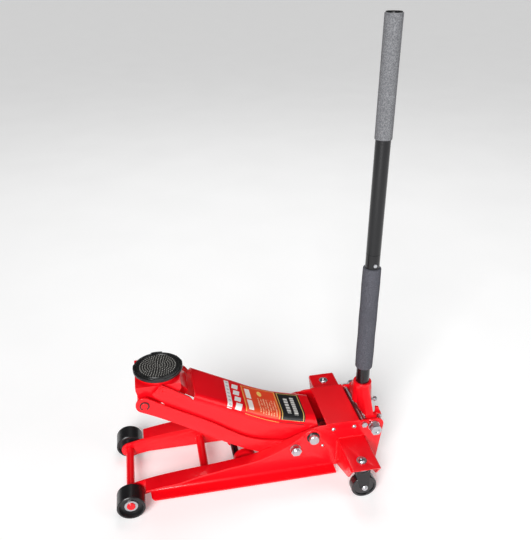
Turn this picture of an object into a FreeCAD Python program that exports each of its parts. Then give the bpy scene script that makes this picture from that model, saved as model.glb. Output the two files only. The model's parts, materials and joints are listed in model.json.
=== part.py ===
import FreeCAD, Part
import math
import os

# A hydraulic trolley jack, standing part raised with its handle upright.
# +Z is up, -X is the front (saddle end), -Y is the left side.
# Stations along X are measured from the front axle, and everything is moved once, on export,
# so that the origin lies on the floor under the middle of the whole jack.
# All sizes are in millimetres and degrees.

Vec = FreeCAD.Vector
axisX = Vec(1, 0, 0)
axisY = Vec(0, 1, 0)
axisZ = Vec(0, 0, 1)

# ---- driving dimensions ----

# fits
runFit = 0.08            # radial clearance of a turning fit

# side plates: everything across the jack is measured from these two
plateInnerY = 68.0
plateThick = 4.0
plateOuterY = plateInnerY + plateThick

# front wheels and axle
wheelRadius = 32.0
wheelWidth = 44.0
wheelInnerY = plateOuterY + 7.0
wheelRecess = 9.0
wheelRimWall = 5.0
wheelEdge = 1.6
wheelBackRecess = 5.0
wheelSideGap = 0.3
axleRadius = 9.5
axleStickOut = 5.0
axleCollarRadius = 15.0
washerThick = 2.0
washerRing = 5.5
shaftChamfer = 1.2

# side plates
plateBottomZ = 20.0
plateTopZ = 143.5
plateEndX = 606.0
plateHeelX = 592.0
plateCorner = 18.0
noseRadius = 20.0
embossRadius = 21.0      # raised ring of the plate round the main pivot
embossRise = 3.0
sightHoleRadius = 2.6
sightHoleDX = 15.0
sightHoleDZ = 3.0
topEdge = [(30.0, 59.0), (116.0, 70.5), (243.0, 81.0), (302.0, 91.5), (371.0, 117.5), (413.0, 134.0)]
topFlatX = 447.0
lipThick = 4.0
topLip = [(36.0, 34.0), (110.0, 36.0), (150.0, 29.0), (224.0, 22.0), (310.0, 23.0),
          (370.0, 19.0), (395.0, 12.0), (413.0, 5.0)]   # station, width beyond the plate
bottomLipY = plateOuterY + 28.5
bottomLipFrontX = 44.0
bottomLipRearX = 483.5
bottomLipZ = 24.5
lipBend = 7.0

# cross members
tieX = 175.0
tieZ = 40.0
tieRadius = 10.0
restX = 256.0
restZ = 37.0
restRadius = 8.5
lugX = 272.0
lugZ = 56.0
lugRadius = 27.0
lugInnerY = plateInnerY - 28.0
lugThick = 12.0
lugRecess = 4.0
lugRim = 7.0
restEyeWall = 6.0

# lift arm, drawn level and turned up to its standing angle
pivotX = 431.0
pivotZ = 117.0
pivotRadius = 12.0
pivotEndY = plateOuterY + 16.3
circlipRing = 3.2
circlipThick = 1.6
lockScrewDX = 24.5
lockScrewDZ = 31.0
lockScrewRadius = 4.2
lockScrewHeight = 3.6
armLength = 380.0
armAngle = 28.0
armHalfWidth = plateInnerY - 8.0
armThick = 4.0
armTopH = 10.0
armTopFrontS = 306.0
armBendStartS = 190.0
armBendEndS = 60.0
armBendRadius = 600.0
armShoulders = [(400.0, 13.0), (190.0, 18.0), (100.0, 27.0), (0.0, 28.0)]   # station, corner radius
armShoulderFrontH = -4.0
armBendSteps = 10
armDepth = 100.0
armHubRadius = 22.0
armEarTop = [(armLength + 10.0, 5.4), (armLength + 7.0, 12.0), (317.0, 2.4)]
armUnderEdge = [(armLength + 17.5, -18.0), (330.0, -42.0), (274.0, -53.0), (200.0, -58.0), (127.0, -62.0),
                (60.0, -46.0)]
heelRadius = 60.0
heelMidAngle = 20.0      # lift angle at which the heel pin hangs straight below the pivot
heelPlateY = plateInnerY - 32.0
heelPlateThick = 8.0
heelPinRadius = 8.0
heelEyeRadius = 17.0
armPinRadius = 8.0
armPinDepth = 24.0

# link plates
linkDropX = 42.0         # how far each link pivot lies ahead of its arm pivot
linkDropZ = 29.0         # how far each link pivot lies below its arm pivot
linkInnerY = plateInnerY - 6.0
linkThick = 5.0
linkFrontRadius = 19.0
linkRearRadius = 21.0
linkPinRadius = 8.0
linkHeadRadius = 11.0
linkWasherRadius = 13.0
linkNutAcross = 23.0
linkNutThick = 10.5
linkWasherThick = 2.0
linkBoltEnd = 16.5
linkUpper = [(303.0, 11.0), (209.0, 3.0), (110.0, -8.0), (40.0, 8.0)]
linkLower = [(325.0, -20.5), (209.0, -32.0), (100.0, -39.5), (40.0, -34.0)]

# saddle bracket and saddle
saddleDX = -5.9          # saddle centre from the arm pin
saddleTopH = 26.4        # pad top above the arm pin
saddleRadius = 55.0
saddleDiscThick = 7.0
saddleRimHeight = 4.0
saddleRimWall = 4.0
saddleLugRise = 2.4
saddleLugAngle = 28.0
padThick = 7.0
stemRadius = 13.0
stemLength = 34.0
bracketHalfWidth = armHalfWidth - 6.5
bracketTopThick = 20.0
bracketNeck = [(24.0, 0.0), (38.0, -4.0), (55.0, -26.0), (47.0, -38.0), (20.0, -38.0)]   # from the arm pin
bracketNeckHalfWidth = 33.0

# rear cover and tie shaft
coverFrontX = 464.0
coverRearX = 544.6
coverThick = 3.0
coverSkirt = 27.0
coverScrewX = (481.0, 532.0)
coverScrewZ = 129.5
coverScrewRadius = 2.5
domeRadius = 5.5
domeHeight = 3.8
tieShaftX = 556.0
tieShaftZ = 134.0
tieShaftRadius = 6.0
tieThreadRadius = 3.6

# power unit
basePlateFrontX = 466.0
basePlateRearX = 586.0
basePlateThick = 5.5
cylFrontX = 470.0
cylRearX = 556.0
cylRadius = 27.0
ramRadius = 11.0
ramLength = 80.0
ramHeadLength = 30.0
ramHeadHeight = 44.0
ramHeadWidth = 30.0
slotClearance = 0.6
blockFrontX = 502.0
blockRearX = 574.0
blockHalfWidth = 42.0
blockTopZ = 91.0
barrelFrontX = 504.0
barrelRearX = 548.0
barrelRadius = 11.5
barrelBossRadius = 16.5
barrelBossRearX = 540.0
pumpRodRadius = 6.0
pumpRodLength = 44.0
pumpHeadRadius = 9.0
pumpHeadThick = 4.0
springCoilRadius = 8.0
springWire = 1.6
springTurns = 4.5
valveY = 24.0
valveZ = 68.0
valveRadius = 6.0
valveLength = 16.0
valveDepth = 12.0
springY = plateInnerY - 18.0   # return springs, each side of the heel plates
springStudX = 522.0
returnCoilRadius = 4.2
returnWire = 1.5
returnTurns = 22

# handle socket, handle and latch
socketX = 580.0
socketZ = 126.0
socketBoltRadius = 8.0
handleOffsetX = -8.1     # handle axis from the socket pivot
handleTilt = 0.7
collarRadius = 22.0
collarTopZ = 206.0
socketFloorZ = 146.0
socketHalfWidth = plateInnerY - 4.0
earThick = 12.0
socketEarRadius = 16.5
rollerArm = 22.0
rollerRadius = 8.0
rollerGap = 0.9
handleSwing = 70.0
rollerPinRadius = 4.0
rollerHalfWidth = 8.5
rollerLugInnerY = 10.0
rollerLugThick = 6.0
tubeRadius = 16.0
tubeWall = 2.0
tubeBottomZ = 151.0
tubeJointZ = 545.0
handleTopZ = 1035.0
spigotLength = 60.0
lowerGripBottomZ = 247.0
lowerGripTopZ = 511.0
lowerGripRadius = tubeRadius + 4.8
upperGripBottomZ = 797.0
upperGripRadius = tubeRadius + 1.8
buttonRadius = 4.0
latchX = 598.0
latchZ = 140.0
latchEyeRadius = 8.0
latchY = plateInnerY - 18.0    # inner face of the lug that the latch turns against
latchBoltRadius = 3.0
latchLugThick = 6.0
latchPlay = 0.3
latchThick = 5.7
anchorY = -33.0
anchorZ = socketFloorZ + 26.0
anchorRadius = 3.0
anchorSeatX = 20.0

# casters
bracketFrontX = 490.0
bracketRearX = 560.0
bracketTopZ = 100.5
bracketOuterY = plateOuterY + 112.7
bracketHeelY = plateOuterY + 90.0
bracketHeelZ = 64.5
bracketRootZ = 25.5
bracketThick = 4.0
casterX = 523.0
casterY = plateOuterY + 83.0
casterTrail = 7.0
casterRadius = 30.0
casterWidth = 22.0
casterAxleRadius = 5.0
casterBoltRadius = 6.0
cupRadius = 22.0
cupHeight = 12.0
forkThick = 2.8
forkGap = 1.2

# ---- places worked out from the driving dimensions ----

wheelOuterY = wheelInnerY + wheelWidth
axleZ = wheelRadius
axleEndY = wheelOuterY - wheelRecess + axleStickOut
armRad = math.radians(armAngle)
armPinX = pivotX - armLength * math.cos(armRad)
armPinZ = pivotZ + armLength * math.sin(armRad)
linkRearX = pivotX - linkDropX
linkRearZ = pivotZ - linkDropZ
linkPinX = armPinX - linkDropX
linkPinZ = armPinZ - linkDropZ
heelRad = math.radians(armAngle - heelMidAngle)
heelX = pivotX - heelRadius * math.sin(heelRad)
heelZ = pivotZ - heelRadius * math.cos(heelRad)
heelRise = heelRadius * (1 - math.cos(math.radians(heelMidAngle)))
ramZ = pivotZ - heelRadius + heelRise / 2
saddleX = armPinX + saddleDX
saddleTopZ = armPinZ + saddleTopH
saddleBottomZ = saddleTopZ - padThick - saddleDiscThick + saddleRimHeight
bracketSeatZ = saddleBottomZ - 0.5
rollerRad = math.radians(handleSwing / 2)
rollerX = socketX + rollerArm * math.sin(rollerRad)
rollerZ = socketZ - rollerArm * math.cos(rollerRad)
rollerRise = rollerArm * (1 - math.cos(rollerRad))
pumpZ = rollerZ - rollerRise / 2
pumpHeadX = rollerX - rollerRadius - rollerGap
basePlateTopZ = plateBottomZ + lipThick + basePlateThick
handleX = socketX + handleOffsetX
casterWheelX = casterX + casterTrail
cupTopZ = bracketTopZ - bracketThick
forkTopZ = cupTopZ - cupHeight
frameShift = Vec(-(plateEndX - wheelRadius) / 2, 0, 0)


# ---- small builders ----

def block(x0, x1, y0, y1, z0, z1):
    return Part.makeBox(x1 - x0, y1 - y0, z1 - z0, Vec(x0, y0, z0))


def rodX(y, z, radius, x0, x1):
    return Part.makeCylinder(radius, x1 - x0, Vec(x0, y, z), axisX)


def rodY(x, z, radius, y0, y1):
    return Part.makeCylinder(radius, y1 - y0, Vec(x, y0, z), axisY)


def rodZ(x, y, radius, z0, z1):
    return Part.makeCylinder(radius, z1 - z0, Vec(x, y, z0), axisZ)


def prismY(points, y0, y1):
    corners = [Vec(x, y0, z) for x, z in points]
    return Part.Face(Part.makePolygon(corners + corners[:1])).extrude(Vec(0, y1 - y0, 0))


def prismX(points, x0, x1):
    corners = [Vec(x0, y, z) for y, z in points]
    return Part.Face(Part.makePolygon(corners + corners[:1])).extrude(Vec(x1 - x0, 0, 0))


def prismZ(points, z0, z1):
    corners = [Vec(x, y, z0) for x, y in points]
    return Part.Face(Part.makePolygon(corners + corners[:1])).extrude(Vec(0, 0, z1 - z0))


def hexY(x, z, across, y0, y1):
    radius = across / math.sqrt(3)
    corners = [(x + radius * math.cos(math.radians(60 * k)), z + radius * math.sin(math.radians(60 * k)))
               for k in range(6)]
    prism = prismY(corners, y0, y1)
    ball = rodY(x, z, radius * 0.965, y0, y1)
    return prism.common(ball)


def hexZ(x, y, across, z0, z1):
    radius = across / math.sqrt(3)
    corners = [(x + radius * math.cos(math.radians(60 * k)), y + radius * math.sin(math.radians(60 * k)))
               for k in range(6)]
    return prismZ(corners, z0, z1).common(rodZ(x, y, radius * 0.965, z0, z1))


def domeY(x, z, radius, height, y):
    # A pan head that swells towards -Y from the plane y.
    ball = (radius * radius + height * height) / (2 * height)
    cap = Part.makeSphere(ball, Vec(x, y - height + ball, z))
    return cap.common(rodY(x, z, radius, y - height - 1, y))


def domeZ(x, y, radius, height, z):
    ball = (radius * radius + height * height) / (2 * height)
    cap = Part.makeSphere(ball, Vec(x, y, z + height - ball))
    return cap.common(rodZ(x, y, radius, z, z + height + 1))


def ringY(x, z, outer, inner, y0, y1):
    return rodY(x, z, outer, y0, y1).cut(rodY(x, z, inner, y0, y1))


def coilX(start, end, y, z, radius, wire, turns):
    helix = Part.makeHelix((end - start) / turns, end - start, radius)
    section = Part.Wire(Part.Circle(Vec(radius, 0, 0), axisY, wire / 2).toShape())
    coil = Part.Wire(helix.Edges).makePipeShell([section], True, True)
    coil.rotate(Vec(0, 0, 0), axisY, 90)
    coil.translate(Vec(start, y, z))
    return coil


def mirrorY(shape):
    return shape.mirror(Vec(0, 0, 0), axisY)


def joined(first, *others):
    return first.multiFuse(list(others)).removeSplitter() if others else first


def splineXZ(points, y):
    curve = Part.BSplineCurve()
    curve.interpolate([Vec(x, y, z) for x, z in points])
    return curve.toShape()


def lineXZ(a, b, y):
    return Part.LineSegment(Vec(a[0], y, a[1]), Vec(b[0], y, b[1])).toShape()


def arcXZ(a, mid, b, y):
    return Part.Arc(Vec(a[0], y, a[1]), Vec(mid[0], y, mid[1]), Vec(b[0], y, b[1])).toShape()


def wireSolid(edges, depth):
    return Part.Face(Part.Wire(Part.__sortEdges__(edges))).extrude(Vec(0, depth, 0))


def turned(shape, x, z, degrees):
    # Positive angles lift the -X side.
    copy = shape.copy()
    copy.rotate(Vec(x, 0, z), axisY, degrees)
    return copy


def upright(shape):
    # The handle leans back a little from the upright.
    return turned(shape, socketX, socketZ, handleTilt)


def save(name, *solids):
    shape = solids[0] if len(solids) == 1 else Part.makeCompound(list(solids))
    moved = shape.copy()
    moved.translate(frameShift)
    moved.exportStep("parts/" + name + ".step")
    print(name, len(moved.Solids), moved.isValid(), round(moved.Volume / 1000, 1))


# ---- chassis ----

def topEdgeCurve(y, drop):
    flat = [(topFlatX, plateTopZ)]
    return splineXZ([(x, z - drop) for x, z in topEdge + flat], y)


def plateWeb():
    # The flat web of the left plate: round nose, curved top edge, sloping rear edge.
    y = -plateOuterY
    nose = (-noseRadius, axleZ)
    noseTop = (0.0, axleZ + noseRadius)
    noseBottom = (0.0, axleZ - noseRadius)
    middle = noseRadius * math.sqrt(0.5)
    rearTop = (plateEndX - plateCorner, plateTopZ)
    rearSide = (plateEndX - 1.0, plateTopZ - plateCorner)
    cornerMid = (plateEndX - plateCorner * 0.32, plateTopZ - plateCorner * 0.3)
    edges = [
        arcXZ(noseTop, (-middle, axleZ + middle), nose, y),
        arcXZ(nose, (-middle, axleZ - middle), noseBottom, y),
        lineXZ(noseBottom, (bottomLipFrontX, plateBottomZ), y),
        lineXZ((bottomLipFrontX, plateBottomZ), (plateHeelX, plateBottomZ), y),
        lineXZ((plateHeelX, plateBottomZ), rearSide, y),
        arcXZ(rearSide, cornerMid, rearTop, y),
        lineXZ(rearTop, (topFlatX, plateTopZ), y),
        topEdgeCurve(y, 0.0),
        lineXZ(topEdge[0], noseTop, y),
    ]
    return wireSolid(edges, plateThick)


def topLipSolid():
    # The rolled lip that stands out along the curved top edge and narrows towards the pivot.
    y = -plateOuterY - max(width for _, width in topLip) - 1
    first = topEdge[0]
    last = (topFlatX, plateTopZ)
    edges = [
        topEdgeCurve(y, 0.0),
        topEdgeCurve(y, lipThick),
        lineXZ(first, (first[0], first[1] - lipThick), y),
        lineXZ(last, (last[0], last[1] - lipThick), y),
    ]
    strip = wireSolid(edges, -y - plateInnerY)
    outline = [(topLip[0][0], -plateInnerY - 1)] + [(x, -plateOuterY - w) for x, w in topLip]
    outline.append((topFlatX - 12, -plateOuterY))
    outline.append((topFlatX - 12, -plateInnerY - 1))
    return strip.common(prismZ(outline, 0, plateTopZ + 1))


def bottomLipSolid():
    z0 = bottomLipZ - lipThick
    outline = [(bottomLipFrontX, -plateInnerY - 1), (bottomLipFrontX + 2, -bottomLipY + 8),
               (bottomLipFrontX + 9, -bottomLipY), (bottomLipRearX, -bottomLipY),
               (bottomLipRearX, -plateInnerY - 1)]
    lip = prismZ(outline, z0, bottomLipZ)
    bend = block(bottomLipFrontX + 2, bottomLipRearX, -plateOuterY - lipBend, -plateOuterY,
                 bottomLipZ - 0.5, bottomLipZ + lipBend)
    hollow = rodX(-plateOuterY - lipBend, bottomLipZ + lipBend, lipBend, bottomLipFrontX, bottomLipRearX + 1)
    return lip.fuse(bend.cut(hollow))


def sidePlate():
    plate = joined(plateWeb(), topLipSolid(), bottomLipSolid())
    emboss = rodY(pivotX, pivotZ, embossRadius, -plateOuterY - embossRise, -plateOuterY + 1.0)
    collar = rodY(0, axleZ, axleCollarRadius, -wheelInnerY + 0.6, -plateOuterY + 1.0)
    plate = joined(plate, emboss, collar)
    deep = -wheelInnerY - 1.0
    holes = [
        rodY(0, axleZ, axleRadius, deep, -plateInnerY),
        rodY(pivotX, pivotZ, pivotRadius, deep, -plateInnerY),
        rodY(linkRearX, linkRearZ, linkPinRadius, deep, -plateInnerY),
        rodY(socketX, socketZ, socketBoltRadius, deep, -plateInnerY),
        rodY(tieShaftX, tieShaftZ, tieThreadRadius, deep, -plateInnerY),
        rodY(tieShaftX + sightHoleDX, tieShaftZ + sightHoleDZ, sightHoleRadius, deep, -plateInnerY),
    ]
    for x in coverScrewX:
        holes.append(rodY(x, coverScrewZ, coverScrewRadius, deep, -plateInnerY))
    return plate.cut(Part.makeCompound(holes))


def frontWheel():
    outer = -wheelOuterY
    wheel = rodY(0, axleZ, wheelRadius, outer, -wheelInnerY)
    wheel = wheel.makeChamfer(wheelEdge, [e for e in wheel.Edges if e.isClosed()])
    recess = Part.makeCone(wheelRadius - wheelRimWall, wheelRadius - wheelRimWall - 2.0, wheelRecess,
                           Vec(0, outer, axleZ), axisY)
    inner = rodY(0, axleZ, wheelRadius - wheelRimWall, -wheelInnerY - wheelBackRecess, -wheelInnerY)
    hub = rodY(0, axleZ, axleCollarRadius + 1.0, -wheelInnerY - wheelBackRecess, -wheelInnerY)
    bore = rodY(0, axleZ, axleRadius + runFit, outer, -wheelInnerY)
    return wheel.cut(recess).cut(inner.cut(hub)).cut(bore)


def axleWasher():
    face = -wheelOuterY + wheelRecess - wheelSideGap
    return ringY(0, axleZ, axleRadius + washerRing, axleRadius, face - washerThick, face)


def frontAxle():
    rod = rodY(0, axleZ, axleRadius, -axleEndY, axleEndY)
    return rod.makeChamfer(shaftChamfer, [e for e in rod.Edges if e.isClosed()])


def crossMembers():
    save("front_axle", frontAxle())
    save("front_cross_tie", rodY(tieX, tieZ, tieRadius, -plateInnerY, plateInnerY))
    save("arm_rest_tube", rodY(restX, restZ, restRadius, -plateInnerY, plateInnerY))
    lug = rodY(lugX, lugZ, lugRadius, -lugInnerY - lugThick, -lugInnerY)
    foot = rodY(restX, restZ, restRadius + restEyeWall, -lugInnerY - lugThick, -lugInnerY)
    hollow = rodY(lugX, lugZ, lugRadius - lugRim, -lugInnerY - lugThick, -lugInnerY - lugThick + lugRecess)
    hole = rodY(restX, restZ, restRadius, -lugInnerY - lugThick, -lugInnerY)
    lug = joined(lug, foot).cut(hollow).cut(hole)
    save("arm_rest_lugs", lug, mirrorY(lug))


def pivotParts():
    shaft = rodY(pivotX, pivotZ, pivotRadius, -pivotEndY, pivotEndY)
    shaft = shaft.makeChamfer(shaftChamfer, [e for e in shaft.Edges if e.isClosed()])
    save("pivot_shaft", shaft)
    clipY = -plateOuterY - embossRise
    clip = ringY(pivotX, pivotZ, pivotRadius + circlipRing, pivotRadius, clipY - circlipThick, clipY)
    low = pivotZ - pivotRadius
    gap = block(pivotX - 5, pivotX + 5, clipY - 2, clipY + 1, low - 6, low + 3)
    clip = clip.cut(gap)
    save("pivot_circlips", clip, mirrorY(clip))
    plug = domeY(pivotX + lockScrewDX, pivotZ - lockScrewDZ, lockScrewRadius, lockScrewHeight, -plateOuterY)
    save("shaft_lock_screws", plug, mirrorY(plug))


def linkBolt():
    # A shoulder bolt with a thin inner head, a washer, a hexagon nut and the bolt's end.
    seat = -plateOuterY - linkWasherThick
    head = rodY(linkRearX, linkRearZ, linkHeadRadius, -linkInnerY + 0.2, -linkInnerY + 1.3)
    shank = rodY(linkRearX, linkRearZ, linkPinRadius, -plateOuterY - linkBoltEnd, -linkInnerY + 1.0)
    washer = ringY(linkRearX, linkRearZ, linkWasherRadius, linkPinRadius, seat, -plateOuterY)
    nut = hexY(linkRearX, linkRearZ, linkNutAcross, seat - linkNutThick, seat)
    nut = nut.cut(rodY(linkRearX, linkRearZ, linkPinRadius, seat - linkNutThick, seat))
    return [head.fuse(shank).removeSplitter(), washer, nut]


def rearCover():
    top = block(coverFrontX, coverRearX, -plateOuterY, plateOuterY, plateTopZ, plateTopZ + coverThick)
    top = top.makeFillet(1.6, [e for e in top.Edges if e.BoundBox.ZMin > plateTopZ + coverThick - 0.01])
    skirt = block(coverFrontX + 8, coverRearX - 6, -plateInnerY, -plateInnerY + coverThick,
                  plateTopZ - coverSkirt, plateTopZ + 1)
    for x in coverScrewX:
        skirt = skirt.cut(rodY(x, coverScrewZ, coverScrewRadius, -plateInnerY, -plateInnerY + coverThick))
    return joined(top, skirt, mirrorY(skirt))


def coverParts():
    save("rear_cover", rearCover())
    screws = []
    for x in coverScrewX:
        head = domeY(x, coverScrewZ, domeRadius, domeHeight, -plateOuterY)
        shank = rodY(x, coverScrewZ, coverScrewRadius, -plateOuterY - 1, -plateInnerY + coverThick)
        screw = head.fuse(shank).removeSplitter()
        screws += [screw, mirrorY(screw)]
    save("cover_screws", *screws)
    save("tie_shaft", rodY(tieShaftX, tieShaftZ, tieShaftRadius, -plateInnerY, plateInnerY))
    bolt = hexY(tieShaftX, tieShaftZ, 13.0, -plateOuterY - 6.5, -plateOuterY)
    bolt = bolt.fuse(rodY(tieShaftX, tieShaftZ, tieThreadRadius, -plateOuterY - 1, -plateInnerY))
    save("tie_bolts", bolt.removeSplitter(), mirrorY(bolt.removeSplitter()))


def powerUnit():
    z0 = basePlateTopZ
    base = block(basePlateFrontX, basePlateRearX, -plateInnerY, plateInnerY, z0 - basePlateThick, z0)
    save("base_plate", base)
    cylinder = rodX(0, ramZ, cylRadius, cylFrontX, cylRearX)
    lip = [e for e in cylinder.Edges if e.isClosed() and abs(e.CenterOfMass.x - cylFrontX) < 0.1]
    cylinder = cylinder.makeChamfer(2.0, lip)
    bore = rodX(0, ramZ, ramRadius + runFit, cylFrontX, cylRearX - 7)
    save("ram_cylinder", cylinder.cut(bore))
    body = block(blockFrontX, blockRearX, -blockHalfWidth, blockHalfWidth, z0, blockTopZ)
    body = body.makeChamfer(4.0, [e for e in body.Edges if abs(e.tangentAt(0).x) > 0.9])
    boss = rodX(0, pumpZ, barrelBossRadius, blockFrontX, barrelBossRearX)
    neck = block(blockFrontX, barrelBossRearX, -10, 10, blockTopZ - 1, pumpZ)
    plug = hexZ(blockFrontX + 55, -26, 14, blockTopZ - 1, blockTopZ + 5)
    body = joined(body, boss, neck, plug).cut(rodX(0, ramZ, cylRadius, cylFrontX, cylRearX))
    body = body.cut(rodX(0, pumpZ, barrelRadius, barrelFrontX, barrelRearX))
    body = body.cut(rodX(valveY, valveZ, valveRadius + runFit, blockRearX - valveDepth - 1, blockRearX))
    stud = rodY(springStudX, heelZ, 3.5, -springY - 5, -blockHalfWidth + 1)
    body = joined(body, stud, mirrorY(stud))
    save("power_unit", body)
    barrel = rodX(0, pumpZ, barrelRadius, barrelFrontX, barrelRearX)
    barrel = barrel.cut(rodX(0, ramZ, cylRadius, cylFrontX, cylRearX))
    save("pump_barrel", barrel.cut(rodX(0, pumpZ, pumpRodRadius + runFit, barrelFrontX + 4, barrelRearX)))


def ramPart():
    head = block(heelX - ramHeadLength / 2, heelX + ramHeadLength / 2, -ramHeadWidth / 2, ramHeadWidth / 2,
                 ramZ - ramHeadHeight / 2, ramZ + ramHeadHeight / 2)
    head = head.makeChamfer(3.0, [e for e in head.Edges if abs(e.tangentAt(0).y) > 0.9])
    rod = rodX(0, ramZ, ramRadius, heelX + ramHeadLength / 2 - 1, heelX + ramHeadLength / 2 + ramLength)
    radius = heelPinRadius + slotClearance
    reach = heelRise / 2
    slot = joined(rodY(heelX, ramZ + reach, radius, -ramHeadWidth, ramHeadWidth),
                  rodY(heelX, ramZ - reach, radius, -ramHeadWidth, ramHeadWidth),
                  block(heelX - radius, heelX + radius, -ramHeadWidth, ramHeadWidth,
                        ramZ - reach, ramZ + reach))
    return joined(head, rod).cut(slot)


def pumpParts():
    head = rodX(0, pumpZ, pumpHeadRadius, pumpHeadX - pumpHeadThick, pumpHeadX)
    rod = rodX(0, pumpZ, pumpRodRadius, pumpHeadX - pumpHeadThick - pumpRodLength, pumpHeadX - 1)
    save("pump_piston", joined(head, rod))
    start = barrelRearX + springWire / 2 + 0.2
    end = pumpHeadX - pumpHeadThick - springWire / 2 - 0.2
    save("pump_spring", coilX(start, end, 0, pumpZ, springCoilRadius, springWire, springTurns))
    start = heelX + heelPinRadius + returnWire / 2 + 0.4
    end = springStudX - 3.5 - returnWire / 2 - 0.2
    spring = coilX(start, end, -springY, heelZ, returnCoilRadius, returnWire, returnTurns)
    save("return_springs", spring, mirrorY(spring))


def releaseValve():
    # The needle valve's stem with the fork of the universal joint on its end.
    stem = rodX(valveY, valveZ, valveRadius, blockRearX - valveDepth, blockRearX + valveLength - 6)
    yoke = rodX(valveY, valveZ, valveRadius + 2.5, blockRearX + valveLength - 8, blockRearX + valveLength + 6)
    gap = block(blockRearX + valveLength, blockRearX + valveLength + 7, valveY - 3, valveY + 3,
                valveZ - 12, valveZ + 12)
    cross = rodY(blockRearX + valveLength + 3, valveZ, 2.0, valveY - 5, valveY + 5)
    return joined(joined(stem, yoke).cut(gap), cross)


# ---- lifting gear ----

def armPoint(s, h):
    return (pivotX - s, pivotZ + h)


def armTopHeight(s):
    # The top line of the arm: straight, one long arc, then straight to the rear edge.
    if s >= armBendStartS:
        return armTopH
    if s >= armBendEndS:
        return armTopH + armBendRadius - math.sqrt(armBendRadius ** 2 - (armBendStartS - s) ** 2)
    sweep = math.asin((armBendStartS - armBendEndS) / armBendRadius)
    return armTopH + armBendRadius * (1 - math.cos(sweep)) + (armBendEndS - s) * math.tan(sweep)


def armShoulder(s):
    # The radius of the rounded long corners, which grows towards the rear.
    for (s0, r0), (s1, r1) in zip(armShoulders, armShoulders[1:]):
        if s >= s1:
            return r0 + (r1 - r0) * (s0 - s) / (s0 - s1)
    return armShoulders[-1][1]


def armSection(s, inset):
    half = armHalfWidth - inset
    top = armTopHeight(s) - inset
    radius = armShoulder(s) - inset
    soft = radius * (1 - math.sqrt(0.5))

    def at(y, h):
        return Vec(pivotX - s, y, pivotZ + h)

    edges = [
        Part.LineSegment(at(-half, -armDepth), at(-half, top - radius)).toShape(),
        Part.Arc(at(-half, top - radius), at(-half + soft, top - soft), at(-half + radius, top)).toShape(),
        Part.LineSegment(at(-half + radius, top), at(half - radius, top)).toShape(),
        Part.Arc(at(half - radius, top), at(half - soft, top - soft), at(half, top - radius)).toShape(),
        Part.LineSegment(at(half, top - radius), at(half, -armDepth)).toShape(),
        Part.LineSegment(at(half, -armDepth), at(-half, -armDepth)).toShape(),
    ]
    return Part.Wire(edges)


def armForm(inset):
    # The arm's folded sheet as a solid form, before its side outline is cut.
    half = armHalfWidth - inset
    span = armBendStartS - armBendEndS
    stations = [armTopFrontS] + [armBendStartS - span * k / armBendSteps for k in range(armBendSteps + 1)]
    form = Part.makeLoft([armSection(s, inset) for s in stations + [0.0, -60.0]], True, True)
    nose = block(pivotX - armLength - 40, pivotX - armTopFrontS, -half, half,
                 pivotZ - armDepth, pivotZ + armDepth)
    return form.fuse(nose)


def armSide(y, depth):
    # The side outline of the arm from its front edge to the pivot hub; the top is left to the form.
    under = armUnderEdge[-1]
    outline = armEarTop + [(armTopFrontS, armShoulderFrontH), (armTopFrontS, 30.0), (100.0, 45.0),
                           (20.0, 59.0), (-18.0, 6.0), (-16.0, -16.0), (0.0, -armHubRadius - 2.0), under]
    edges = [splineXZ([armPoint(s, h) for s, h in armUnderEdge], y)]
    corners = [armUnderEdge[0]] + outline
    for a, b in zip(corners, corners[1:]):
        edges.append(lineXZ(armPoint(*a), armPoint(*b), y))
    return wireSolid(edges, depth)


def liftArmLevel():
    outer = armSide(-armHalfWidth - 1, 2 * armHalfWidth + 2).common(armForm(0.0))
    shell = outer.cut(armForm(armThick))
    hub = rodY(pivotX, pivotZ, armHubRadius, -armHalfWidth, armHalfWidth)
    heel = heelPlate()
    arm = joined(shell, hub, heel, mirrorY(heel))
    arm = arm.cut(rodY(pivotX, pivotZ, pivotRadius + runFit, -armHalfWidth - 1, armHalfWidth + 1))
    return arm.cut(rodY(pivotX - armLength, pivotZ, armPinRadius, -armHalfWidth - 1, armHalfWidth + 1))


def heelPlate():
    # The lever plate that hangs below the pivot and carries the ram's pin.
    angle = math.radians(heelMidAngle)
    x = pivotX + heelRadius * math.sin(angle)
    z = pivotZ - heelRadius * math.cos(angle)
    y0 = -heelPlateY - heelPlateThick
    eye = rodY(x, z, heelEyeRadius, y0, -heelPlateY)
    root = rodY(pivotX, pivotZ, armHubRadius, y0, -heelPlateY)
    side = Vec(math.cos(angle), 0, math.sin(angle))
    a = Vec(pivotX, 0, pivotZ)
    b = Vec(x, 0, z)
    corners = [a + side * armHubRadius, b + side * heelEyeRadius,
               b - side * heelEyeRadius, a - side * armHubRadius]
    web = prismY([(p.x, p.z) for p in corners], y0, -heelPlateY)
    return joined(root, eye, web).cut(rodY(x, z, heelPinRadius, y0, -heelPlateY))


def armParts():
    save("lift_arm", turned(liftArmLevel(), pivotX, pivotZ, armAngle))
    reach = springY + 3.0
    pin = rodY(heelX, heelZ, heelPinRadius, -reach, reach)
    save("heel_pin", pin.makeChamfer(1.0, [e for e in pin.Edges if e.isClosed()]))
    pin = rodY(armPinX, armPinZ, armPinRadius, -armHalfWidth - 1.0, -armHalfWidth + armPinDepth)
    pin = pin.cut(rodY(armPinX, armPinZ, 1.8, -armHalfWidth - 1.0, -armHalfWidth + 1.0))
    save("arm_pins", pin, mirrorY(pin))


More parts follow.
